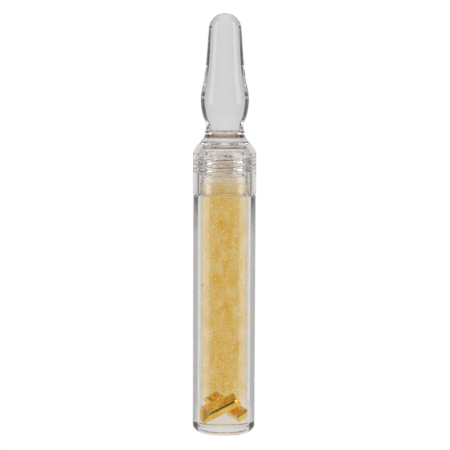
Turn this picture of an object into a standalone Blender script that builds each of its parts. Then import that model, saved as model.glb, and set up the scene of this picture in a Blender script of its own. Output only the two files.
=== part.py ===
"""Gold sample vial: a thick-walled clear vial with a screw cap, a solid ampoule-shaped finial, two
small gold bars and a carrier fluid that holds fine gold. Metres, +Z up, origin at the centre of the
base. Sizes below are in millimetres and are scaled once, by MM."""

import math

import bmesh
import bpy
from mathutils import Matrix, Vector

MM = 0.001
SEGMENTS = 48  # facets around every turned piece

# Vial body
BASE_R = 7.5
SHOULDER_R = 7.57
FOOT_R = 3.4
FOOT_RISE = 2.4
SHOULDER_Z = 58.4
SHOULDER_ROUND = 0.25
NECK_BAND_R = 6.0
NECK_BAND_TOP_Z = 61.2
NECK_FILLET = 0.35
LIP_Z = 69.1
LIP_ROUND = 0.5
BORE_R = 4.25
BORE_FLOOR_Z = 2.5
BORE_FLOOR_ROUND = 0.6

# Right-hand thread shared by the neck and the cap
PITCH = 1.83
THREAD_ROOT_R = 5.6
THREAD_DEPTH = 0.55
CAP_THREAD_DEPTH = 0.35
THREAD_FOOT_HALF = 0.55
THREAD_CREST_HALF = 0.18
THREAD_START_Z = 62.6
NECK_TURNS = 2.75
CAP_TURNS = 2.5
THREAD_EMBED = 0.25
RUN_OUT_TURNS = 0.2

# Screw cap
CAP_R = 7.67
CAP_GAP = 0.3  # skirt to shoulder, liner to lip, finial to cap
CAP_BORE_R = 6.35
CAP_LEAD_IN = 0.2
CAP_BORE_TOP_Z = 68.4
CAP_CEILING_R = 5.35
CAP_CEILING_Z = 70.3
CAP_SHOULDER = [(CAP_R, 67.3), (7.55, 68.8), (6.95, 70.0), (5.85, 71.25), (5.0, 72.4)]
CAP_SEAT_R = 4.75
CAP_SEAT_Z = 73.1
SPIGOT_R = 3.1
SPIGOT_Z = 74.4

# Liner
LINER_R = 5.2
LINER_THICKNESS = 0.65

# Finial, from its foot to the start of its dome
FINIAL_OUTLINE = [
    (4.84, 73.4),
    (4.46, 74.9),
    (4.87, 76.3),
    (5.47, 78.2),
    (5.83, 80.7),
    (5.72, 83.1),
    (5.11, 86.0),
    (4.53, 90.9),
    (3.97, 98.4),
]
FINIAL_TOP_Z = 102.4
SOCKET_R = 3.45  # the cap's spigot stands in this shallow socket
SOCKET_TOP_Z = 75.2
SOCKET_ROUND = 0.3

# Carrier fluid
FLUID_GAP = 0.1
FLUID_LEVEL_Z = 62.5
BAR_CLEARANCE = 0.12

# Gold bars: length, width and height, chamfer of the top edges, share of the width and height left at
# the thin end, centre, and yaw, pitch and roll in degrees
BARS = {
    "gold_bar_front": {
        "size": (9.3, 3.5, 2.7),
        "chamfer": 0.42,
        "taper": 0.8,
        "centre": (-1.3, -1.45, 6.7),
        "turn": (-9.0, 32.5, 56.0),
    },
    "gold_bar_rear": {
        "size": (7.9, 2.6, 2.6),
        "chamfer": 0.42,
        "taper": 1.0,
        "centre": (0.73, 1.75, 6.85),
        "turn": (-26.8, -36.8, 48.8),
    },
}
BAR_EDGE_ROUND = 0.07
# The bars' ends are trimmed to this column, so that they slide in the bore and clear its floor
BAR_TRIM_R = 4.1
BAR_TRIM_FLOOR_Z = 2.8
BAR_TRIM_ROUND = 0.5
BAR_TRIM_TOP_Z = 16.0

CLEAR_PLASTIC = {"colour": (0.94, 0.95, 0.95), "roughness": 0.02, "ior": 1.49}
CLEAR_LINER = {"colour": (0.90, 0.90, 0.88), "roughness": 0.12, "ior": 1.43}
GOLD_FLUID = {"colour": (0.93, 0.80, 0.50), "roughness": 0.05, "ior": 1.42}
GOLD = (0.86, 0.62, 0.20)


def clear_scene():
    for obj in list(bpy.data.objects):
        bpy.data.objects.remove(obj, do_unlink=True)


def clear_material(name, colour, roughness, ior):
    material = bpy.data.materials.new(name)
    material.use_nodes = True
    shader = material.node_tree.nodes["Principled BSDF"]
    shader.inputs["Base Color"].default_value = (*colour, 1.0)
    shader.inputs["Roughness"].default_value = roughness
    shader.inputs["IOR"].default_value = ior
    shader.inputs["Transmission Weight"].default_value = 1.0
    material.diffuse_color = (*colour, 0.4)
    return material


def gold_material():
    material = bpy.data.materials.new("gold")
    material.use_nodes = True
    shader = material.node_tree.nodes["Principled BSDF"]
    shader.inputs["Base Color"].default_value = (*GOLD, 1.0)
    shader.inputs["Metallic"].default_value = 1.0
    shader.inputs["Roughness"].default_value = 0.28
    material.diffuse_color = (*GOLD, 1.0)
    return material


def arc(centre, radii, start, end, steps):
    """Points of an elliptical arc in the (r, z) plane, from start to end in degrees."""
    points = []
    for i in range(steps + 1):
        angle = math.radians(start + (end - start) * i / steps)
        points.append((centre[0] + radii[0] * math.cos(angle), centre[1] + radii[1] * math.sin(angle)))
    return points


def smooth_curve(points, steps):
    """A Catmull-Rom curve through the points, with steps pieces between neighbours."""
    ends = [points[0]] + list(points) + [points[-1]]
    curve = []
    for before, here, there, after in zip(ends, ends[1:], ends[2:], ends[3:]):
        for i in range(steps):
            t = i / steps
            curve.append(
                tuple(
                    0.5 * (2 * b + (c - a) * t + (2 * a - 5 * b + 4 * c - d) * t**2
                           + (3 * b - a - 3 * c + d) * t**3)
                    for a, b, c, d in zip(before, here, there, after)
                )
            )
    curve.append(tuple(points[-1]))
    return curve


def new_object(name, mesh_builder, material):
    mesh = bpy.data.meshes.new(name)
    mesh_builder.to_mesh(mesh)
    mesh_builder.free()
    mesh.materials.append(material)
    obj = bpy.data.objects.new(name, mesh)
    bpy.context.scene.collection.objects.link(obj)
    return obj


def smooth_round(obj, sharp_degrees=35):
    obj.data.shade_smooth()
    obj.data.set_sharp_from_angle(angle=math.radians(sharp_degrees))


def turned(name, outline, material):
    """A solid turned about Z from an (r, z) outline in millimetres that runs from axis to axis."""
    builder = bmesh.new()
    rings = []
    for r, z in outline:
        if r < 1e-6:
            rings.append([builder.verts.new((0, 0, z * MM))])
            continue
        ring = []
        for i in range(SEGMENTS):
            angle = 2 * math.pi * i / SEGMENTS
            ring.append(builder.verts.new((r * MM * math.cos(angle), r * MM * math.sin(angle), z * MM)))
        rings.append(ring)
    for low, high in zip(rings, rings[1:]):
        for i in range(SEGMENTS):
            j = (i + 1) % SEGMENTS
            corners = [low[i % len(low)], low[j % len(low)], high[j % len(high)], high[i % len(high)]]
            builder.faces.new(list(dict.fromkeys(corners)))
    bmesh.ops.recalc_face_normals(builder, faces=builder.faces)
    obj = new_object(name, builder, material)
    smooth_round(obj)
    return obj


def thread_ridge(name, material, start_z, turns, foot_r, crest_r, embed_r):
    """A helical ridge whose foot is sunk in its wall and whose crest sinks away at both ends."""
    builder = bmesh.new()
    steps = round(turns * SEGMENTS)
    sections = []
    for i in range(steps + 1):
        turn = i / SEGMENTS
        rise = min(1.0, turn / RUN_OUT_TURNS, (turns - turn) / RUN_OUT_TURNS)
        crest = embed_r + (crest_r - embed_r) * max(rise, 0.05)
        z = start_z + PITCH * turn
        direction = Vector((math.cos(2 * math.pi * turn), math.sin(2 * math.pi * turn), 0.0))
        flare = (embed_r - foot_r) / (foot_r - crest_r)
        foot_half = THREAD_FOOT_HALF + flare * (THREAD_FOOT_HALF - THREAD_CREST_HALF)
        section = []
        for r, dz in ((embed_r, -foot_half), (crest, -THREAD_CREST_HALF), (crest, THREAD_CREST_HALF),
                      (embed_r, foot_half)):
            section.append(builder.verts.new((direction * r + Vector((0, 0, z + dz))) * MM))
        sections.append(section)
    for here, there in zip(sections, sections[1:]):
        for k in range(4):
            builder.faces.new((here[k], here[(k + 1) % 4], there[(k + 1) % 4], there[k]))
    builder.faces.new(sections[0])
    builder.faces.new(sections[-1])
    bmesh.ops.recalc_face_normals(builder, faces=builder.faces)
    ridge = new_object(name, builder, material)
    ridge.hide_render = True
    ridge.display_type = "WIRE"
    return ridge


def add_boolean(obj, other, operation):
    modifier = obj.modifiers.new(other.name, "BOOLEAN")
    modifier.operation = operation
    modifier.object = other


def vial_body(material):
    outline = [(0.0, 0.0)]
    outline += arc((FOOT_R, FOOT_RISE), (BASE_R - FOOT_R, FOOT_RISE), -90, 0, 8)
    outline += arc(
        (SHOULDER_R - SHOULDER_ROUND, SHOULDER_Z - SHOULDER_ROUND), (SHOULDER_ROUND, SHOULDER_ROUND), 0, 90, 2
    )
    outline += arc(
        (NECK_BAND_R + NECK_FILLET, SHOULDER_Z + NECK_FILLET), (NECK_FILLET, NECK_FILLET), 270, 180, 2
    )
    outline += [(NECK_BAND_R, NECK_BAND_TOP_Z), (THREAD_ROOT_R, NECK_BAND_TOP_Z + 0.3)]
    outline += arc((THREAD_ROOT_R - LIP_ROUND, LIP_Z - LIP_ROUND), (LIP_ROUND, LIP_ROUND), 0, 90, 3)
    outline += [(BORE_R + 0.25, LIP_Z), (BORE_R, LIP_Z - 0.25)]
    outline += arc(
        (BORE_R - BORE_FLOOR_ROUND, BORE_FLOOR_Z + BORE_FLOOR_ROUND),
        (BORE_FLOOR_ROUND, BORE_FLOOR_ROUND), 0, -90, 3,
    )
    outline += [(0.0, BORE_FLOOR_Z)]
    body = turned("vial_body", outline, material)
    ridge = thread_ridge(
        "neck_thread", material, THREAD_START_Z, NECK_TURNS, THREAD_ROOT_R,
        THREAD_ROOT_R + THREAD_DEPTH, THREAD_ROOT_R - THREAD_EMBED,
    )
    add_boolean(body, ridge, "UNION")
    return body


def screw_cap(material):
    skirt_z = SHOULDER_Z + CAP_GAP
    outline = [(0.0, CAP_CEILING_Z), (CAP_CEILING_R, CAP_CEILING_Z), (CAP_BORE_R, CAP_BORE_TOP_Z)]
    outline += [(CAP_BORE_R, skirt_z + CAP_LEAD_IN), (CAP_BORE_R + CAP_LEAD_IN, skirt_z)]
    outline += arc((CAP_R - CAP_LEAD_IN, skirt_z + CAP_LEAD_IN), (CAP_LEAD_IN, CAP_LEAD_IN), -90, 0, 2)
    outline += smooth_curve(CAP_SHOULDER, 3)
    outline += [(CAP_SEAT_R, CAP_SEAT_Z), (SPIGOT_R, CAP_SEAT_Z), (SPIGOT_R, SPIGOT_Z), (0.0, SPIGOT_Z)]
    cap = turned("screw_cap", outline, material)
    ridge = thread_ridge(
        "cap_thread", material, THREAD_START_Z + PITCH / 2, CAP_TURNS, CAP_BORE_R,
        CAP_BORE_R - CAP_THREAD_DEPTH, CAP_BORE_R + THREAD_EMBED,
    )
    add_boolean(cap, ridge, "UNION")
    return cap


def cap_liner(material):
    low = LIP_Z + CAP_GAP
    high = low + LINER_THICKNESS
    return turned("cap_liner", [(0.0, low), (LINER_R, low), (LINER_R, high), (0.0, high)], material)


def ampoule_finial(material):
    dome_r, dome_z = FINIAL_OUTLINE[-1]
    outline = [(0.0, SOCKET_TOP_Z)]
    outline += arc(
        (SOCKET_R - SOCKET_ROUND, SOCKET_TOP_Z - SOCKET_ROUND), (SOCKET_ROUND, SOCKET_ROUND), 90, 0, 2
    )
    outline += [(SOCKET_R, FINIAL_OUTLINE[0][1])]
    outline += smooth_curve(FINIAL_OUTLINE, 3)[:-1]
    outline += arc((0.0, dome_z), (dome_r, FINIAL_TOP_Z - dome_z), 0, 90, 7)[:-1]
    outline += [(0.0, FINIAL_TOP_Z)]
    return turned("ampoule_finial", outline, material)


def bar_corners(size, chamfer, taper):
    """Rings of a centred bar's corners: its floor, the foot of its chamfer and its top face. Width and
    height shrink to the taper's share at the +X end."""
    length, width, height = size
    rings = [], [], []
    for sx, sy in ((-1, -1), (1, -1), (1, 1), (-1, 1)):
        share = taper if sx > 0 else 1.0
        x, y, z = length / 2, share * width / 2, share * height / 2
        rings[0].append(Vector((sx * x, sy * y, -z)))
        rings[1].append(Vector((sx * x, sy * y, z - chamfer)))
        rings[2].append(Vector((sx * (x - chamfer), sy * (y - chamfer), z)))
    return rings


def bar_matrix(bar):
    yaw, pitch, roll = (math.radians(angle) for angle in bar["turn"])
    turn = Matrix.Rotation(yaw, 4, "Z") @ Matrix.Rotation(-pitch, 4, "Y") @ Matrix.Rotation(roll, 4, "X")
    return Matrix.Translation(Vector(bar["centre"]) * MM) @ turn


def bore_gauge(material):
    """A cutter: the round column that the gold bars are trimmed to."""
    outline = [(0.0, BAR_TRIM_FLOOR_Z), (BAR_TRIM_R - BAR_TRIM_ROUND, BAR_TRIM_FLOOR_Z)]
    outline += [(BAR_TRIM_R, BAR_TRIM_FLOOR_Z + BAR_TRIM_ROUND)]
    outline += [(BAR_TRIM_R, BAR_TRIM_TOP_Z), (0.0, BAR_TRIM_TOP_Z)]
    gauge = turned("bore_gauge", outline, material)
    gauge.hide_render = True
    gauge.display_type = "WIRE"
    return gauge


def gold_bar(name, bar, gauge, material):
    builder = bmesh.new()
    corners = bar_corners(bar["size"], bar["chamfer"], bar["taper"])
    rings = [[builder.verts.new(corner * MM) for corner in ring] for ring in corners]
    for low, high in zip(rings, rings[1:]):
        for i in range(4):
            j = (i + 1) % 4
            builder.faces.new((low[i], low[j], high[j], high[i]))
    builder.faces.new(rings[0][::-1])
    builder.faces.new(rings[-1])
    obj = new_object(name, builder, material)
    obj.matrix_world = bar_matrix(bar)
    bevel = obj.modifiers.new("edge_round", "BEVEL")
    bevel.width = BAR_EDGE_ROUND * MM
    bevel.segments = 2
    bevel.limit_method = "ANGLE"
    add_boolean(obj, gauge, "INTERSECT")
    return obj


def bar_pocket(name, bar, material):
    """A cutter: the bar with clearance all round, swept down through the fluid's floor."""
    builder = bmesh.new()
    size = [side + 2 * BAR_CLEARANCE for side in bar["size"]]
    place = bar_matrix(bar)
    for ring in bar_corners(size, bar["chamfer"], bar["taper"]):
        for corner in ring:
            point = place @ (corner * MM)
            builder.verts.new(point)
            builder.verts.new((point.x, point.y, -point.z))
    hull = bmesh.ops.convex_hull(builder, input=builder.verts)
    bmesh.ops.delete(builder, geom=hull["geom_interior"], context="VERTS")
    bmesh.ops.recalc_face_normals(builder, faces=builder.faces)
    pocket = new_object(name, builder, material)
    pocket.hide_render = True
    pocket.display_type = "WIRE"
    return pocket


def carrier_fluid(material):
    radius = BORE_R - FLUID_GAP
    floor_z = BORE_FLOOR_Z + FLUID_GAP
    rounding = BORE_FLOOR_ROUND
    outline = [(0.0, floor_z)]
    outline += arc((radius - rounding, floor_z + rounding), (rounding, rounding), -90, 0, 3)
    outline += [(radius, FLUID_LEVEL_Z), (0.0, FLUID_LEVEL_Z)]
    fluid = turned("carrier_fluid", outline, material)
    for name, bar in BARS.items():
        add_boolean(fluid, bar_pocket(name + "_pocket", bar, material), "DIFFERENCE")
    return fluid


def parent_empty(name, children):
    """An empty on the vial's axis, where the screw joint turns, that carries the children."""
    empty = bpy.data.objects.new(name, None)
    bpy.context.scene.collection.objects.link(empty)
    for child in children:
        child.parent = empty
    return empty


def main():
    clear_scene()
    plastic = clear_material("clear_plastic", **CLEAR_PLASTIC)
    soft_clear = clear_material("clear_liner", **CLEAR_LINER)
    gold_fluid = clear_material("gold_fluid", **GOLD_FLUID)
    gold = gold_material()
    vial_body(plastic)
    carrier_fluid(gold_fluid)
    cap_parts = [screw_cap(plastic), ampoule_finial(plastic)]
    parent_empty("cap_axis", cap_parts)
    cap_liner(soft_clear)
    gauge = bore_gauge(gold)
    for name, bar in BARS.items():
        gold_bar(name, bar, gauge, gold)


main()
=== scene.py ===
"""Looks of the gold sample vial: a polished clear plastic body, screw cap and solid ampoule finial, a
fluid column full of fine gold flakes, and two small gold bars. Lengths are in millimetres, which MM
turns into metres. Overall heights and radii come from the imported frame's boxes, and the values below
add the walls, threads and edges that the boxes do not give."""

import math
from typing import NamedTuple

import bpy
import numpy as np
from mathutils import Matrix, Vector

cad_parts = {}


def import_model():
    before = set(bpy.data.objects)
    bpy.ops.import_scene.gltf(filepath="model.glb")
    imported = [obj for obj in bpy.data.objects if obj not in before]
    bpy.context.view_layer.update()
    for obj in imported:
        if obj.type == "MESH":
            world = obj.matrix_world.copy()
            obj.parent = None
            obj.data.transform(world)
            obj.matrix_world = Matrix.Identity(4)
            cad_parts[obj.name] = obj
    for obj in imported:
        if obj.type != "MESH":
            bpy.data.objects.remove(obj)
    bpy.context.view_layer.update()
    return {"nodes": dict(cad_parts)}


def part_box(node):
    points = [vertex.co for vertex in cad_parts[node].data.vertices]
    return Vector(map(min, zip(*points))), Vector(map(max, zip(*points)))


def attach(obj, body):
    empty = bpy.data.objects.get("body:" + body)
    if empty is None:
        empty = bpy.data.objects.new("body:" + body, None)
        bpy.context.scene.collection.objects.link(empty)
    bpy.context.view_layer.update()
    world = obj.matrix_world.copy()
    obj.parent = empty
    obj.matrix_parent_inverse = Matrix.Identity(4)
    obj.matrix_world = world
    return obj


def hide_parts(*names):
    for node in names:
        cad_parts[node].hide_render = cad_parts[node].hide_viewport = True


MM = 0.001
TINY = 1e-6  # slack for comparing radii and heights
SEGMENTS = 192  # facets around every turned piece
SUPPORT = 0.12  # distance of a straight wall's support rows from its ends
NARROW_SUPPORT = 0.06
LIP_SUPPORT = 0.05
SEED = 7

# Vial body
FOOT_R = 3.4
FOOT_RISE = 2.4
FOOT_EDGE = 0.5  # the foot's outer stretch, up to where the base starts to curve
BASE_INSET = 0.07  # the base is this much slimmer than the shoulder
SHOULDER_Z = 58.4
SHOULDER_ROUND = 0.25
NECK_BAND_R = 6.0
NECK_BAND_TOP_Z = 61.2
NECK_FILLET = 0.35
NECK_BAND_EDGE = 0.12
NECK_BAND_FALL = [(0.06, 0.22), (0.0, 0.3)]  # (beyond the thread's root, above the band) as it ends
LIP_ROUND = 0.5
LIP_INNER_ROUND = 0.25
BORE_R = 4.25
BORE_FLOOR_Z = 2.5
BORE_FLOOR_ROUND = 0.6

# Thread of the neck and the cap
PITCH = 1.83
THREAD_ROOT_R = 5.6
THREAD_DEPTH = 0.55
CAP_THREAD_DEPTH = 0.35
THREAD_FOOT_HALF = 0.55
THREAD_CREST_HALF = 0.18
THREAD_START_Z = 62.6
NECK_TURNS = 2.75
CAP_TURNS = 2.5
RUN_OUT_TURNS = 0.2
THREAD_ROW = 0.06  # height of one mesh row on a threaded wall

# Screw cap
CAP_CEILING = [(0.0, 70.3), (5.05, 70.3), (5.35, 70.05), (6.25, 68.6)]
CAP_BORE_R = 6.35
CAP_BORE_TOP_Z = 68.4
CAP_LEAD_IN = 0.2
CAP_SHOULDER = [(7.67, 67.3), (7.55, 68.8), (6.95, 70.0), (5.85, 71.25), (5.0, 72.4)]
CAP_SEAT_R = 4.75
CAP_SEAT_Z = 73.1
CAP_SEAT_EDGE = [(0.05, -0.08), (-0.05, 0.0)]  # (beyond the seat's radius, above it)
SPIGOT_R = 3.1
SPIGOT_FOOT = 0.05
SPIGOT_EDGE = [(0.0, -0.3), (-0.1, -0.08), (-0.3, 0.0)]  # (beyond the spigot's radius, above its top)
CEMENT_RIM = 0.95  # height of the cap's top edge that the cement has browned
CEMENT_RIM_R = 5.1  # the browned edge stays inside this radius
SKIRT_RIM = 0.12  # height of the skirt's bottom edge that looks as brown

# Ampoule finial and liner
FINIAL_FOOT_R = 4.84
FINIAL_BEVEL = 0.1
FINIAL_OUTLINE = [
    (4.46, 74.9), (4.87, 76.3), (5.47, 78.2), (5.83, 80.7),
    (5.72, 83.1), (5.11, 86.0), (4.53, 90.9), (3.97, 98.4),
]
SOCKET_R = 3.45
SOCKET_TOP_Z = 75.2
SOCKET_ROUND = 0.3
LINER_BEVEL = 0.1

# Carrier fluid, with its haze of gold too fine to model
FLUID_SKIN = 0.02  # the fluid stands this far off the wetted wall
MENISCUS_RISE = 0.55
MENISCUS_REACH = 1.1
MENISCUS_RINGS = 19
HAZE_R = (4.6, 3.2)  # from here inwards the suspended gold thickens from none to full
HAZE_LOW_Z = (5.0, 12.5)
HAZE_HIGH_Z = (64.0, 56.5)
HAZE_LEAST = 0.06  # share of it that stays at the floor and the surface
FLUID_TINT = (0.972, 0.74, 0.0, 1)
FLUID_DENSITY = 215.0
CLOUD_STRETCH = (1.0, 1.0, 0.4)  # clouds are longer upwards
CLOUD_SCALE = 760.0  # cycles a metre
CLOUD_DETAIL = 3.0
CLOUD_SPAN = (0.38, 0.62)  # noise values between which the haze goes from its thinnest to its thickest
CLOUD_SHARES = (0.35, 1.65)
STRAIGHT_DEPTH = 2.5  # a ray straight from the camera crosses two surfaces of plastic to the fluid
INDIRECT_HAZE = 0.04  # share of the haze that light meets on its way to what is seen through the fluid

# Gold flakes
FLAKES = 24000
FLAKE_SIZE = 0.05  # half width of a middling flake
FLAKE_SPREAD = 0.35
FLAKE_THICKNESS = 0.12  # as a share of its half width
FLAKE_RIM = [(1, 0), (0.1, 0.8), (-0.9, 0.1), (-0.1, -0.9)]
FLAKE_UNEVENNESS = (0.6, 1.2)
BIG_FLAKES = 0.004  # share of the flakes that are several times bigger
BIG_FLAKE_SCALE = (2.2, 4.0)
DULL_SHARE = 0.78
BRIGHT_FLAKE_SCALE = 1.2
FLAKE_GAP = 0.3  # to the bore's wall and floor
FLAKE_TOP_GAP = 0.1  # to the fluid's level
FLAKE_CROWDING = 0.58  # 0.5 would be even across the bore, and more crowds its middle
WALL_FLAKES = 0.03  # share that clings to the bore above the fluid
WALL_FLAKE_GAP = 0.12
BARS = ("gold_bar_front", "gold_bar_rear")
BAR_CLEARANCE = 0.15

# Clear materials
PLASTIC_IOR = 1.49
FLUID_IOR = 1.42
LINER_IOR = 1.43
LINER_ROUGHNESS = 0.12
PLASTIC_TINT = (0.985, 0.97, 0.955)
FINIAL_TINT = (0.965, 0.962, 0.98)
WETTED_TINT = (0.99, 0.965, 0.94)
CEMENT_TINT = (0.75, 0.60, 0.54)
BROWN_RIM_TINT = (0.40, 0.26, 0.21)
LINER_TINT = (0.92, 0.84, 0.78)
NO_TINT = (1.0, 1.0, 1.0)
WAVINESS = 0.012  # depth of the waves that moulding leaves in the plastic
WAVE_SCALE = 170.0  # cycles a metre

# Golds
FLAKE_GOLD = (1.0, 0.84, 0.42)
FLAKE_GLOW = (1.0, 0.85, 0.30)  # painted glow: emission that stands in for the light that so many flakes pass to each other
# Emission Strength is painted glow, stronger on the bright flakes than on the dull ones
BRIGHT_FLAKE = {"Roughness": 0.2, "Emission_Strength": 0.7}
DULL_FLAKE = {"Roughness": 0.55, "Emission_Strength": 0.08}
BAR_GOLD = (1.0, 0.77, 0.19)
BAR_GOLD_DEEP = (1.0, 0.58, 0.07)
BAR_TONE_SPAN = (0.35, 0.65)  # noise values between which one tone gives way to the other
BAR_ROUGHNESS = (0.12, 0.28)
BRUSHING = (900, 24000, 24000)  # cycles a metre along and across a bar
BRUSH_SPAN = (0.3, 0.7)
SCRATCH_DEPTH = 0.012
DENT_DEPTH = 0.07
DENT_SCALE = 420.0  # cycles a metre

# The studio round the object, as (degrees from straight behind it to the camera, brightness)
ROOM_RING = [(0, 0.73), (42, 0.66), (50, 0.10), (88, 0.07), (130, 0.25), (155, 0.08), (180, 0.05)]
TABLE_RING = [(0, 0.73), (40, 0.64), (52, 0.50), (75, 0.43), (115, 0.45), (150, 0.12), (180, 0.08)]
TABLE_EDGE = (-3.9, -4.6)  # degrees of rise between which the room gives way to the white table
GREY_CARD_RING = [(42, 0.0), (50, 1.0), (80, 1.0), (95, 0.0)]
GREY_CARD_RISE = [(-16, 0.0), (-12, 1.0), (-8.2, 1.0), (-7.4, 0.0)]
GREY_CARD = 0.8  # share of the table's light that it takes away
CEILING = 0.8
CEILING_EDGE = (45, 75)
SOFTBOX_RING = [(92, 0.0), (98, 1.0), (118, 1.0), (126, 0.0)]
SOFTBOX_RISE = [(-12, 0.0), (-4, 1.0), (38, 1.0), (48, 0.0)]
SOFTBOX_LIGHT = 2.2
KEY_RING = [(115, 0.0), (130, 1.0), (180, 1.0)]
KEY_RISE = [(28, 0.0), (35, 1.0), (56, 1.0), (63, 0.0)]
KEY_LIGHT = 0.5
FLOOR_R = 60.0
FLOOR_CORNERS = 96
FLOOR_GAP = 0.1
UNDER_VIAL = (8.0, 13.0)  # radii between which the light under the vial gives way to the table's
UNDER_VIAL_LIGHT = 0.75
LIGHT_PATHS = {  # enough bounces to get through the nested clear walls, and fine steps in the haze
    "max_bounces": 32, "transmission_bounces": 32, "glossy_bounces": 16,
    "transparent_max_bounces": 16, "volume_step_rate": 0.2,
}

# Camera
CAMERA_DISTANCE = 1000.0
CAMERA_ELEVATION = 4.5
CAMERA_REACH = 100  # metres
SENSOR_WIDTH = 36
FRAME_WIDTH = 109.2  # width of the view at the vial
AIM = (0.15, 51.0)
ROLL = 0.23


class Thread(NamedTuple):
    """A helical ridge on a straight wall between two heights. A negative depth points inwards."""

    low: float
    high: float
    start: float
    turns: float
    depth: float
    radius: float


class Strip(NamedTuple):
    """Least and greatest radius and height of the strip between two neighbours of an outline."""

    inner: float
    outer: float
    low: float
    high: float


def box_mm(node):
    low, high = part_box(node)
    return low / MM, high / MM


def fluid_level():
    return box_mm("carrier_fluid")[1].z


def arc(centre, radii, start, end, steps):
    """Points of an elliptical arc in the (r, z) plane, from start to end in degrees."""
    angles = np.radians(np.linspace(start, end, steps + 1))
    return [(centre[0] + radii[0] * math.cos(a), centre[1] + radii[1] * math.sin(a)) for a in angles]


def fillet(centre, radius, start, end, steps):
    """A round corner, without its first point, which the outline already has."""
    return arc(centre, (radius, radius), start, end, steps)[1:]


def shifted(offsets, r, z):
    return [(r + out, z + up) for out, up in offsets]


def smooth_curve(points, steps):
    """A Catmull-Rom curve through the points, with steps pieces between neighbours."""
    ends = [points[0]] + list(points) + [points[-1]]
    curve = []
    for before, here, there, after in zip(ends, ends[1:], ends[2:], ends[3:]):
        a, b, c, d = (np.array(p) for p in (before, here, there, after))
        for t in np.linspace(0, 1, steps, endpoint=False):
            bend = (2 * a - 5 * b + 4 * c - d) * t**2 + (3 * b - a - 3 * c + d) * t**3
            curve.append(tuple(0.5 * (2 * b + (c - a) * t + bend)))
    curve.append(tuple(points[-1]))
    return curve


def straight(start, end, rows=1, margin=SUPPORT):
    """Points of a straight wall after start, with a support row close to each end."""
    a, b = np.array(start, float), np.array(end, float)
    length = np.linalg.norm(b - a)
    edge = min(margin / length, 0.3)
    shares = [edge, *np.linspace(0, 1, rows + 1)[1:-1], 1 - edge, 1]
    return [tuple(a + (b - a) * s) for s in shares]


def threaded_wall(radius, low, high):
    """Rows of a straight wall dense enough to carry a thread."""
    rows = round(abs(high - low) / THREAD_ROW)
    return [(radius, low + (high - low) * (i + 1) / rows) for i in range(rows)]


def ridge_height(turn, z, thread):
    """Share of the full thread height at each (turn, z), for a helix that rises PITCH a turn."""
    whole = np.round((z - thread.start) / PITCH - turn)
    along = turn + whole
    offset = np.abs(z - thread.start - PITCH * along)
    flank = smoothstep(offset, THREAD_FOOT_HALF, THREAD_CREST_HALF)
    return flank * smoothstep(np.minimum(along, thread.turns - along), 0, RUN_OUT_TURNS)


def smoothstep(value, low, high):
    share = np.clip((value - low) / (high - low), 0, 1)
    return share * share * (3 - 2 * share)


def mesh_object(name, vertices, faces, materials, slots=None):
    mesh = bpy.data.meshes.new(name)
    mesh.from_pydata(vertices, [], faces)
    for material in materials:
        mesh.materials.append(material)
    if slots is not None:
        mesh.polygons.foreach_set("material_index", np.array(slots, np.int32))
    obj = bpy.data.objects.new(name, mesh)
    bpy.context.scene.collection.objects.link(obj)
    return obj


def ring_points(r, z, thread):
    """One ring of a turned surface, pushed out or in where the thread crosses it."""
    turn = np.arange(SEGMENTS) / SEGMENTS
    radii = np.full(SEGMENTS, float(r))
    if thread and thread.low < z < thread.high and abs(r - thread.radius) < TINY:
        radii += thread.depth * ridge_height(turn, z, thread)
    angles = 2 * np.pi * turn
    return zip(radii * MM * np.cos(angles), radii * MM * np.sin(angles), [z * MM] * SEGMENTS)


def turned(name, outline, materials, slot_of=None, thread=None):
    """A closed surface turned about Z. The outline runs from axis to axis, anticlockwise round the solid
    in the (r, z) plane, and slot_of gives the material slot of each Strip of it."""
    vertices, rings = [], []
    for r, z in outline:
        start = len(vertices)
        vertices.extend(ring_points(r, z, thread) if r > TINY else [(0.0, 0.0, z * MM)])
        rings.append(range(start, len(vertices)))
    faces, slots = [], []
    for (r, z), (next_r, next_z), low, high in zip(outline, outline[1:], rings, rings[1:]):
        strip = Strip(min(r, next_r), max(r, next_r), min(z, next_z), max(z, next_z))
        slot = slot_of(strip) if slot_of else 0
        for i in range(SEGMENTS):
            j = (i + 1) % SEGMENTS
            corners = (low[i % len(low)], low[j % len(low)], high[j % len(high)], high[i % len(high)])
            faces.append(tuple(dict.fromkeys(corners)))
            slots.append(slot)
    obj = mesh_object(name, vertices, faces, materials, slots)
    obj.data.shade_smooth()
    obj.data.set_sharp_from_angle(angle=math.radians(40))
    return obj


def stand_in(piece, node, body):
    """Puts a piece in the place of a CAD node, riding on its body."""
    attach(piece, body)
    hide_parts(node)


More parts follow.
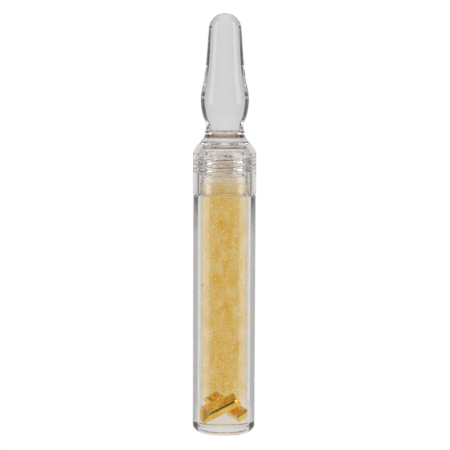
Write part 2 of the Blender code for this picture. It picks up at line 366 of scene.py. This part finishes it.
def make_vial(plastic, wetted):
    top = box_mm("vial_body")[1]
    base_r = top.x - BASE_INSET
    wet_z = fluid_level() + MENISCUS_RISE
    shoulder = (top.x, SHOULDER_Z - SHOULDER_ROUND)
    neck = NECK_BAND_R + NECK_FILLET
    band_top = NECK_BAND_TOP_Z - NECK_BAND_EDGE
    lip_z = top.z - LIP_ROUND
    round_z = BORE_FLOOR_Z + BORE_FLOOR_ROUND

    outline = [(0.0, 0.0), (FOOT_R - FOOT_EDGE, 0.0)]
    outline += arc((FOOT_R, FOOT_RISE), (base_r - FOOT_R, FOOT_RISE), -90, 0, 28)
    outline += straight(outline[-1], shoulder, rows=8)
    outline += fillet((shoulder[0] - SHOULDER_ROUND, shoulder[1]), SHOULDER_ROUND, 0, 90, 6)
    outline += straight(outline[-1], (neck, SHOULDER_Z), margin=NARROW_SUPPORT)
    outline += fillet((neck, SHOULDER_Z + NECK_FILLET), NECK_FILLET, 270, 180, 6)
    outline += straight(outline[-1], (NECK_BAND_R, band_top), margin=NARROW_SUPPORT)
    outline += fillet((NECK_BAND_R - NECK_BAND_EDGE, band_top), NECK_BAND_EDGE, 0, 60, 4)
    outline += shifted(NECK_BAND_FALL, THREAD_ROOT_R, NECK_BAND_TOP_Z)
    thread_z = outline[-1][1]
    outline += threaded_wall(THREAD_ROOT_R, thread_z, lip_z)
    outline += fillet((THREAD_ROOT_R - LIP_ROUND, lip_z), LIP_ROUND, 0, 90, 8)
    outline += straight(outline[-1], (BORE_R + LIP_INNER_ROUND, top.z), margin=LIP_SUPPORT)
    outline += fillet((BORE_R + LIP_INNER_ROUND, top.z - LIP_INNER_ROUND), LIP_INNER_ROUND, 90, 180, 5)
    outline += straight(outline[-1], (BORE_R, wet_z), rows=2)
    outline += straight(outline[-1], (BORE_R, round_z), rows=8)
    outline += fillet((BORE_R - BORE_FLOOR_ROUND, round_z), BORE_FLOOR_ROUND, 0, -90, 8)
    outline += straight(outline[-1], (0.0, BORE_FLOOR_Z), rows=3)

    def slot_of(strip):
        in_bore = strip.outer <= BORE_R + TINY and strip.low >= BORE_FLOOR_Z - TINY
        return 1 if in_bore and strip.high <= wet_z + TINY else 0

    thread = Thread(thread_z, lip_z, THREAD_START_Z, NECK_TURNS, THREAD_DEPTH, THREAD_ROOT_R)
    vial = turned("vial_body_clear", outline, [plastic, wetted], slot_of, thread)
    stand_in(vial, "vial_body", "vial")


def make_cap(plastic, bonded, brown_rims):
    low, high = box_mm("screw_cap")
    lead_z = low.z + CAP_LEAD_IN

    outline = CAP_CEILING + [(CAP_BORE_R, CAP_BORE_TOP_Z)]
    outline += threaded_wall(CAP_BORE_R, CAP_BORE_TOP_Z, lead_z)
    outline += [(CAP_BORE_R + CAP_LEAD_IN, low.z)]
    outline += arc((high.x - CAP_LEAD_IN, lead_z), (CAP_LEAD_IN, CAP_LEAD_IN), -90, 0, 5)
    outline += straight(outline[-1], CAP_SHOULDER[0], rows=2)
    outline += smooth_curve(CAP_SHOULDER, 8)[1:]
    outline += shifted(CAP_SEAT_EDGE, CAP_SEAT_R, CAP_SEAT_Z)
    outline += [(SPIGOT_R + SPIGOT_FOOT, CAP_SEAT_Z), (SPIGOT_R, CAP_SEAT_Z + SPIGOT_FOOT)]
    outline += shifted(SPIGOT_EDGE, SPIGOT_R, high.z)
    outline += [(0.0, high.z)]

    def slot_of(strip):
        if strip.outer <= SPIGOT_R + SPIGOT_FOOT + TINY and strip.low >= CAP_SEAT_Z - TINY:
            return 1
        # The top rim is browned by the cement, and the skirt's bottom edge is only given the same brown
        top_rim = strip.low >= CAP_SEAT_Z - CEMENT_RIM and strip.outer < CEMENT_RIM_R
        return 2 if top_rim or strip.high <= low.z + SKIRT_RIM else 0

    start = THREAD_START_Z + PITCH / 2
    thread = Thread(lead_z, CAP_BORE_TOP_Z, start, CAP_TURNS, -CAP_THREAD_DEPTH, CAP_BORE_R)
    cap = turned("screw_cap_clear", outline, [plastic, bonded, brown_rims], slot_of, thread)
    stand_in(cap, "screw_cap", "cap")


def make_finial(plastic, bonded, cement):
    low, high = box_mm("ampoule_finial")
    bevel_z = low.z + FINIAL_BEVEL
    socket_end = (SOCKET_R + FINIAL_BEVEL, low.z)
    round_centre = (SOCKET_R - SOCKET_ROUND, SOCKET_TOP_Z - SOCKET_ROUND)
    dome_r, dome_z = FINIAL_OUTLINE[-1]

    outline = [(0.0, SOCKET_TOP_Z)]
    outline += arc(round_centre, (SOCKET_ROUND, SOCKET_ROUND), 90, 0, 10)
    outline += straight(outline[-1], (SOCKET_R, bevel_z), rows=6)
    outline += [socket_end, (FINIAL_FOOT_R - FINIAL_BEVEL, low.z)]
    outline += smooth_curve([(FINIAL_FOOT_R, bevel_z)] + FINIAL_OUTLINE, 12)[:-1]
    outline += arc((0.0, dome_z), (dome_r, high.z - dome_z), 0, 90, 24)[:-1]
    outline += [(0.0, high.z)]

    def slot_of(strip):
        if strip.high > SOCKET_TOP_Z + TINY:
            return 0
        if strip.outer <= socket_end[0] + TINY:
            return 1
        return 2 if strip.high <= low.z + TINY else 0

    finial = turned("ampoule_finial_clear", outline, [plastic, bonded, cement], slot_of)
    stand_in(finial, "ampoule_finial", "cap")


def make_liner(soft_clear):
    low, high = box_mm("cap_liner")
    flat_r = high.x - LINER_BEVEL
    outline = [(0.0, low.z), (flat_r, low.z), (high.x, low.z + LINER_BEVEL)]
    outline += [(high.x, high.z - LINER_BEVEL), (flat_r, high.z), (0.0, high.z)]
    liner = turned("cap_liner_soft", outline, [soft_clear])
    stand_in(liner, "cap_liner", "liner")


def make_fluid(side, surface):
    level = fluid_level()
    radius = BORE_R - FLUID_SKIN
    floor_z = BORE_FLOOR_Z + FLUID_SKIN
    climb = MENISCUS_RISE - FLUID_SKIN
    outline = [(0.0, floor_z)]
    outline += arc((radius - BORE_FLOOR_ROUND, floor_z + BORE_FLOOR_ROUND),
                   (BORE_FLOOR_ROUND, BORE_FLOOR_ROUND), -90, 0, 8)
    outline += straight(outline[-1], (radius, level + climb), rows=6)
    for r in np.linspace(radius, 0, MENISCUS_RINGS + 1)[1:]:
        outline.append((r, level + climb * math.exp((r - radius) / MENISCUS_REACH)))

    def slot_of(strip):
        return 1 if strip.low > level - TINY and strip.inner < radius - TINY else 0

    fluid = turned("carrier_fluid_clear", outline, [side, surface], slot_of)
    stand_in(fluid, "carrier_fluid", "vial")


def random_turns(rng, count):
    """Random rotation matrices, one for each flake."""
    q = rng.normal(size=(count, 4))
    q /= np.linalg.norm(q, axis=1)[:, None]
    w, x, y, z = q.T
    return np.stack([
        np.stack([1 - 2 * (y * y + z * z), 2 * (x * y - z * w), 2 * (x * z + y * w)], -1),
        np.stack([2 * (x * y + z * w), 1 - 2 * (x * x + z * z), 2 * (y * z - x * w)], -1),
        np.stack([2 * (x * z - y * w), 2 * (y * z + x * w), 1 - 2 * (x * x + y * y)], -1),
    ], 1)


def clear_of_bar(centres, bar):
    """Which centres keep BAR_CLEARANCE to a bar, which is convex."""
    normals = np.array([f.normal for f in bar.data.polygons], float)
    middles = np.array([f.center for f in bar.data.polygons], float) / MM
    offsets = (normals * middles).sum(1)
    return (centres @ normals.T - offsets > BAR_CLEARANCE).any(1)


def flake_centres(frame, rng):
    """Random places in the fluid, thinning towards its floor and surface and clear of the bars, and a
    few on the wet bore above it."""
    low = BORE_FLOOR_Z + FLAKE_GAP
    level = fluid_level()
    lip_z = box_mm("vial_body")[1].z
    tries = FLAKES * 2
    r = (BORE_R - FLAKE_GAP) * rng.random(tries) ** FLAKE_CROWDING
    angle = 2 * np.pi * rng.random(tries)
    z = low + (level - FLAKE_TOP_GAP - low) * rng.random(tries)
    on_wall = rng.random(tries) < WALL_FLAKES
    z = np.where(on_wall, level + (lip_z - level) * rng.random(tries) ** 2, z)
    r = np.where(on_wall, BORE_R - WALL_FLAKE_GAP, r)
    centres = np.stack([r * np.cos(angle), r * np.sin(angle), z], -1)
    share = smoothstep(z, *HAZE_LOW_Z) * smoothstep(z, *HAZE_HIGH_Z)
    keep = on_wall | (rng.random(tries) < HAZE_LEAST + (1 - HAZE_LEAST) * share)
    for node in BARS:
        keep &= clear_of_bar(centres, frame["nodes"][node])
    return centres[keep][:FLAKES]


def make_flakes(frame, bright, dull):
    """Flat four-cornered flakes, each a thin double pyramid, turned every way and kept inside the bore."""
    rng = np.random.default_rng(SEED)
    centres = flake_centres(frame, rng)
    count = len(centres)
    half = FLAKE_SIZE * np.exp(FLAKE_SPREAD * rng.normal(size=count))
    half *= np.where(rng.random(count) < BIG_FLAKES, rng.uniform(*BIG_FLAKE_SCALE, count), 1.0)
    is_dull = rng.random(count) < DULL_SHARE
    half *= np.where(is_dull, 1.0, BRIGHT_FLAKE_SCALE)
    flake = [(x, y, 0) for x, y in FLAKE_RIM] + [(0, 0, FLAKE_THICKNESS), (0, 0, -FLAKE_THICKNESS)]
    shapes = np.repeat(np.array(flake, float)[None], count, 0)
    corners = len(FLAKE_RIM)
    shapes[:, :corners, :2] *= rng.uniform(*FLAKE_UNEVENNESS, (count, corners, 1))
    points = np.einsum("nij,nkj->nki", random_turns(rng, count), shapes * half[:, None, None])
    points += centres[:, None, :]
    outward = np.linalg.norm(points[:, :, :2], axis=2)
    limit = BORE_R - 3 * FLUID_SKIN
    points[:, :, :2] *= np.where(outward > limit, limit / outward, 1.0)[:, :, None]
    faces = []
    for i in range(corners):
        j = (i + 1) % corners
        faces += [(i, j, corners), (j, i, corners + 1)]
    all_faces = (np.array(faces)[None] + len(flake) * np.arange(count)[:, None, None]).reshape(-1, 3)
    vertices = (points.reshape(-1, 3) * MM).tolist()
    slots = np.repeat(is_dull, len(faces))
    flakes = mesh_object("gold_flakes", vertices, all_faces.tolist(), [bright, dull], slots)
    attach(flakes, "vial")


class Graph:
    """Short forms for adding nodes to one node tree."""

    def __init__(self, tree):
        self.tree = tree

    def node(self, kind, **inputs):
        made = self.tree.nodes.new(kind)
        for name, value in inputs.items():
            self.feed(made.inputs[name.replace("_", " ")], value)
        return made

    def feed(self, socket, value):
        if isinstance(value, bpy.types.NodeSocket):
            self.tree.links.new(value, socket)
        else:
            socket.default_value = value

    def maths(self, operation, *values):
        made = self.tree.nodes.new("ShaderNodeMath")
        made.operation = operation
        for socket, value in zip(made.inputs, values):
            self.feed(socket, value)
        return made.outputs[0]

    def ramp(self, factor, stops):
        """A grey ramp that eases through (position, value) stops."""
        made = self.tree.nodes.new("ShaderNodeValToRGB")
        ramp = made.color_ramp
        ramp.interpolation = "EASE"
        while len(ramp.elements) > 1:
            ramp.elements.remove(ramp.elements[-1])
        for i, (position, value) in enumerate(stops):
            element = ramp.elements[0] if i == 0 else ramp.elements.new(position)
            element.position = position
            element.color = (value, value, value, 1.0)
        self.feed(made.inputs[0], factor)
        return made.outputs[0]

    def azimuth(self, right, ahead):
        """Share of a half turn away from straight behind the object, the same on both sides."""
        angle = self.maths("ABSOLUTE", self.maths("ARCTAN2", right, ahead))
        return self.maths("MULTIPLY", angle, 1 / math.pi)

    def ring(self, azimuth, stops):
        return self.ramp(azimuth, [(degrees / 180, value) for degrees, value in stops])

    def climb(self, rise, stops):
        share = self.span(rise, -90, 90, kind="LINEAR")
        return self.ramp(share, [(degrees / 180 + 0.5, value) for degrees, value in stops])

    def span(self, value, low, high, to_low=0.0, to_high=1.0, kind="SMOOTHSTEP"):
        """Goes from to_low to to_high as the value goes from low to high, and stays level outside."""
        inputs = {"Value": value, "From_Min": low, "From_Max": high, "To_Min": to_low, "To_Max": to_high}
        made = self.node("ShaderNodeMapRange", **inputs)
        made.interpolation_type = kind
        return made.outputs[0]

    def mix(self, factor, a, b):
        return self.node("ShaderNodeMix", Factor=factor, A=a, B=b).outputs["Result"]

    def seen_by_camera(self):
        return self.node("ShaderNodeLightPath").outputs["Is Camera Ray"]


def principled(name, **values):
    material = bpy.data.materials.new(name)
    material.use_nodes = True
    shader = material.node_tree.nodes["Principled BSDF"]
    for key, value in values.items():
        shader.inputs[key.replace("_", " ")].default_value = value
    return material, shader


def empty_material(name):
    material = bpy.data.materials.new(name)
    material.use_nodes = True
    material.node_tree.nodes.clear()
    return material


def clear_plastic(name, ior, tint, roughness=0.0, waviness=0.0):
    """Clear plastic, cement or fluid. Waviness is the depth of waves several millimetres long."""
    values = {"Base_Color": (*tint, 1), "Roughness": roughness, "IOR": ior, "Transmission_Weight": 1.0}
    material, shader = principled(name, **values)
    if waviness:
        graph = Graph(material.node_tree)
        where = graph.node("ShaderNodeTexCoord").outputs["Object"]
        waves = graph.node("ShaderNodeTexNoise", Vector=where, Scale=WAVE_SCALE, Detail=1.0)
        bump = graph.node("ShaderNodeBump", Height=waves.outputs[0], Distance=waviness * MM, Strength=1.0)
        graph.feed(shader.inputs["Normal"], bump.outputs[0])
    return material


def see_through(name):
    """A surface that light passes as if it were not there, for a joint that cement or fluid fills."""
    material = empty_material(name)
    graph = Graph(material.node_tree)
    clear = graph.node("ShaderNodeBsdfTransparent")
    graph.node("ShaderNodeOutputMaterial", Surface=clear.outputs[0])
    return material


def fill_with_haze(material):
    """Gives a material's inside the golden haze of the suspended gold: thickest along the middle, cloudy,
    and thinning towards the bore, the floor and the surface."""
    graph = Graph(material.node_tree)
    where = graph.node("ShaderNodeTexCoord").outputs["Object"]
    x, y, z = graph.node("ShaderNodeSeparateXYZ", Vector=where).outputs
    r_squared = graph.maths("ADD", graph.maths("MULTIPLY", x, x), graph.maths("MULTIPLY", y, y))
    r = graph.maths("SQRT", r_squared)
    across = graph.span(r, *(edge * MM for edge in HAZE_R))
    low = graph.span(z, *(edge * MM for edge in HAZE_LOW_Z))
    high = graph.span(z, *(edge * MM for edge in HAZE_HIGH_Z))
    drawn_up = graph.node("ShaderNodeMapping", Vector=where, Scale=CLOUD_STRETCH).outputs[0]
    cloud = graph.node("ShaderNodeTexNoise", Vector=drawn_up, Scale=CLOUD_SCALE, Detail=CLOUD_DETAIL)
    cloudy = graph.span(cloud.outputs[0], *CLOUD_SPAN, *CLOUD_SHARES)
    sideways = graph.maths("MULTIPLY", across, cloudy)
    upwards = graph.maths("MULTIPLY", low, high)
    thickness = graph.maths("MAXIMUM", graph.maths("MULTIPLY", sideways, upwards), HAZE_LEAST)
    # Rays in the neck have crossed the cap as well, so all of them meet the full haze there
    depth = graph.node("ShaderNodeLightPath").outputs["Ray Depth"]
    straight_in = graph.maths("LESS_THAN", depth, STRAIGHT_DEPTH)
    in_neck = graph.maths("GREATER_THAN", z, SHOULDER_Z * MM)
    met = graph.span(graph.maths("MAXIMUM", straight_in, in_neck), 0.0, 1.0, INDIRECT_HAZE, 1.0)
    density = graph.maths("MULTIPLY", graph.maths("MULTIPLY", thickness, met), FLUID_DENSITY)
    tint = graph.node("ShaderNodeVolumeAbsorption", Color=FLUID_TINT, Density=density)
    output = next(n for n in graph.tree.nodes if n.type == "OUTPUT_MATERIAL")
    graph.feed(output.inputs["Volume"], tint.outputs[0])


def bar_axes(bar):
    """A bar's own axes, with its length first, which has the least area facing along it."""
    normals = np.array([f.normal for f in bar.data.polygons], float)
    areas = np.array([f.area for f in bar.data.polygons], float)
    axes = np.linalg.eigh((normals * areas[:, None]).T @ normals)[1].T
    if np.linalg.det(axes) < 0:
        axes[2] *= -1
    return Matrix(axes.tolist())


def bar_gold(node, bar):
    """Cast gold, brushed along the bar and a little uneven."""
    material, shader = principled(node + "_gold", Metallic=1.0)
    graph = Graph(material.node_tree)
    where = graph.node("ShaderNodeTexCoord").outputs["Object"]
    along = graph.node("ShaderNodeMapping", Vector=where, Rotation=bar_axes(bar).to_euler())
    drawn_out = graph.node("ShaderNodeVectorMath")
    drawn_out.operation = "MULTIPLY"
    graph.feed(drawn_out.inputs[0], along.outputs[0])
    graph.feed(drawn_out.inputs[1], BRUSHING)
    brush = graph.node("ShaderNodeTexNoise", Vector=drawn_out.outputs[0], Scale=1.0, Detail=3.0)
    brushed = brush.outputs[0]
    uneven = graph.node("ShaderNodeTexNoise", Vector=where, Scale=DENT_SCALE, Detail=2.0).outputs[0]
    scratches = graph.node("ShaderNodeBump", Height=brushed, Distance=SCRATCH_DEPTH * MM, Strength=0.5)
    dents = graph.node("ShaderNodeBump", Height=uneven, Distance=DENT_DEPTH * MM, Strength=0.6)
    graph.feed(dents.inputs["Normal"], scratches.outputs[0])
    graph.feed(shader.inputs["Normal"], dents.outputs[0])
    graph.feed(shader.inputs["Roughness"], graph.span(brushed, *BRUSH_SPAN, *BAR_ROUGHNESS))
    tone = graph.node("ShaderNodeMix")
    tone.data_type = "RGBA"
    graph.feed(tone.inputs["Factor"], graph.span(uneven, *BAR_TONE_SPAN))
    graph.feed(tone.inputs[6], (*BAR_GOLD, 1))
    graph.feed(tone.inputs[7], (*BAR_GOLD_DEEP, 1))
    graph.feed(shader.inputs["Base Color"], tone.outputs[2])
    return material


def make_world():
    """The studio: a room and a white table seen beyond the floor, with two lamps. It keeps its place
    to the camera sideways, and is plain white where the camera sees it."""
    world = bpy.data.worlds.new("studio")
    bpy.context.scene.world = world
    world.use_nodes = True
    world.node_tree.nodes.clear()
    graph = Graph(world.node_tree)
    where = graph.node("ShaderNodeTexCoord")
    view = graph.node("ShaderNodeSeparateXYZ", Vector=where.outputs["Camera"])
    level = graph.node("ShaderNodeSeparateXYZ", Vector=where.outputs["Generated"])
    around = graph.azimuth(view.outputs["X"], view.outputs["Z"])
    rise = graph.maths("MULTIPLY", graph.maths("ARCSINE", level.outputs["Z"]), 180 / math.pi)
    card = graph.maths("MULTIPLY", graph.ring(around, GREY_CARD_RING), graph.climb(rise, GREY_CARD_RISE))
    lit = graph.maths("SUBTRACT", 1.0, graph.maths("MULTIPLY", card, GREY_CARD))
    table = graph.maths("MULTIPLY", graph.ring(around, TABLE_RING), lit)
    light = graph.mix(graph.span(rise, *TABLE_EDGE), graph.ring(around, ROOM_RING), table)
    light = graph.mix(graph.span(rise, *CEILING_EDGE), light, CEILING)
    lamps = ((SOFTBOX_RING, SOFTBOX_RISE, SOFTBOX_LIGHT), (KEY_RING, KEY_RISE, KEY_LIGHT))
    for ring, climb, strength in lamps:
        lamp = graph.maths("MULTIPLY", graph.ring(around, ring), graph.climb(rise, climb))
        light = graph.maths("ADD", light, graph.maths("MULTIPLY", lamp, strength))
    strength = graph.mix(graph.seen_by_camera(), light, 1.0)
    background = graph.node("ShaderNodeBackground", Strength=strength, Color=(1, 1, 1, 1))
    graph.node("ShaderNodeOutputWorld", Surface=background.outputs[0])


def floor_white():
    """Plain white to the camera, and shaded like a lit sweep to the reflections."""
    material = empty_material("floor_white")
    graph = Graph(material.node_tree)
    position = graph.node("ShaderNodeNewGeometry").outputs["Position"]
    turned_to_view = graph.node("ShaderNodeVectorTransform", Vector=position)
    turned_to_view.vector_type = "VECTOR"
    turned_to_view.convert_from = "WORLD"
    turned_to_view.convert_to = "CAMERA"
    view = graph.node("ShaderNodeSeparateXYZ", Vector=turned_to_view.outputs[0])
    table = graph.ring(graph.azimuth(view.outputs["X"], view.outputs["Z"]), TABLE_RING)
    reach = graph.node("ShaderNodeVectorMath", Vector=position)
    reach.operation = "LENGTH"
    beyond = graph.span(reach.outputs["Value"], *(edge * MM for edge in UNDER_VIAL))
    shade = graph.mix(beyond, UNDER_VIAL_LIGHT, table)
    glow = graph.node("ShaderNodeEmission", Strength=graph.mix(graph.seen_by_camera(), shade, 1.0))
    graph.node("ShaderNodeOutputMaterial", Surface=glow.outputs[0])
    return material


def make_floor():
    """A round white table just under the foot."""
    angles = np.linspace(0, 2 * math.pi, FLOOR_CORNERS, endpoint=False)
    corners = [(FLOOR_R * MM * math.cos(a), FLOOR_R * MM * math.sin(a), 0) for a in angles]
    floor = mesh_object("floor", corners, [list(range(FLOOR_CORNERS))], [floor_white()])
    floor.location.z = -FLOOR_GAP * MM


def make_camera():
    data = bpy.data.cameras.new("camera")
    camera = bpy.data.objects.new("camera", data)
    bpy.context.scene.collection.objects.link(camera)
    data.sensor_width = SENSOR_WIDTH
    data.lens = SENSOR_WIDTH * CAMERA_DISTANCE / FRAME_WIDTH
    data.clip_end = CAMERA_REACH
    e = math.radians(CAMERA_ELEVATION)
    back = Vector((0, -math.cos(e), math.sin(e)))
    aim = Vector((AIM[0], 0, AIM[1])) * MM
    place = Matrix.Translation(aim + back * CAMERA_DISTANCE * MM)
    turn = (-back).to_track_quat("-Z", "Y").to_matrix().to_4x4()
    camera.matrix_world = place @ turn @ Matrix.Rotation(math.radians(ROLL), 4, "Z")
    bpy.context.scene.camera = camera


def make_clear_pieces():
    plastic = clear_plastic("clear_plastic_polished", PLASTIC_IOR, PLASTIC_TINT, waviness=WAVINESS)
    finial_plastic = clear_plastic("clear_plastic_finial", PLASTIC_IOR, FINIAL_TINT, waviness=WAVINESS)
    wetted = clear_plastic("clear_plastic_wetted", PLASTIC_IOR / FLUID_IOR, WETTED_TINT)
    cement = clear_plastic("clear_cement", PLASTIC_IOR, CEMENT_TINT)
    brown_rims = clear_plastic("clear_plastic_brown_rims", PLASTIC_IOR, BROWN_RIM_TINT)
    bonded = see_through("bonded_joint")
    soft_clear = clear_plastic("clear_liner_soft", LINER_IOR, LINER_TINT, LINER_ROUGHNESS)
    side = see_through("fluid_side")
    surface = clear_plastic("fluid_surface", FLUID_IOR, NO_TINT)
    fill_with_haze(side)
    fill_with_haze(surface)
    make_vial(plastic, wetted)
    make_cap(plastic, bonded, brown_rims)
    make_finial(finial_plastic, bonded, cement)
    make_liner(soft_clear)
    make_fluid(side, surface)


def make_gold(frame):
    # the flakes' emission colour and strength are painted glow, not a lamp
    gold = {"Base_Color": (*FLAKE_GOLD, 1), "Metallic": 1.0, "Emission_Color": (*FLAKE_GLOW, 1)}
    bright = principled("flake_gold_bright", **BRIGHT_FLAKE, **gold)[0]
    dull = principled("flake_gold_dull", **DULL_FLAKE, **gold)[0]
    make_flakes(frame, bright, dull)
    for node in BARS:
        bar = frame["nodes"][node]
        bar.material_slots[0].material = bar_gold(node, bar)


def set_rendering():
    scene = bpy.context.scene
    scene.view_settings.view_transform = "Standard"
    for name, value in LIGHT_PATHS.items():
        setattr(scene.cycles, name, value)


def main():
    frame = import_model()
    make_clear_pieces()
    make_gold(frame)
    make_floor()
    make_world()
    make_camera()
    set_rendering()


main()
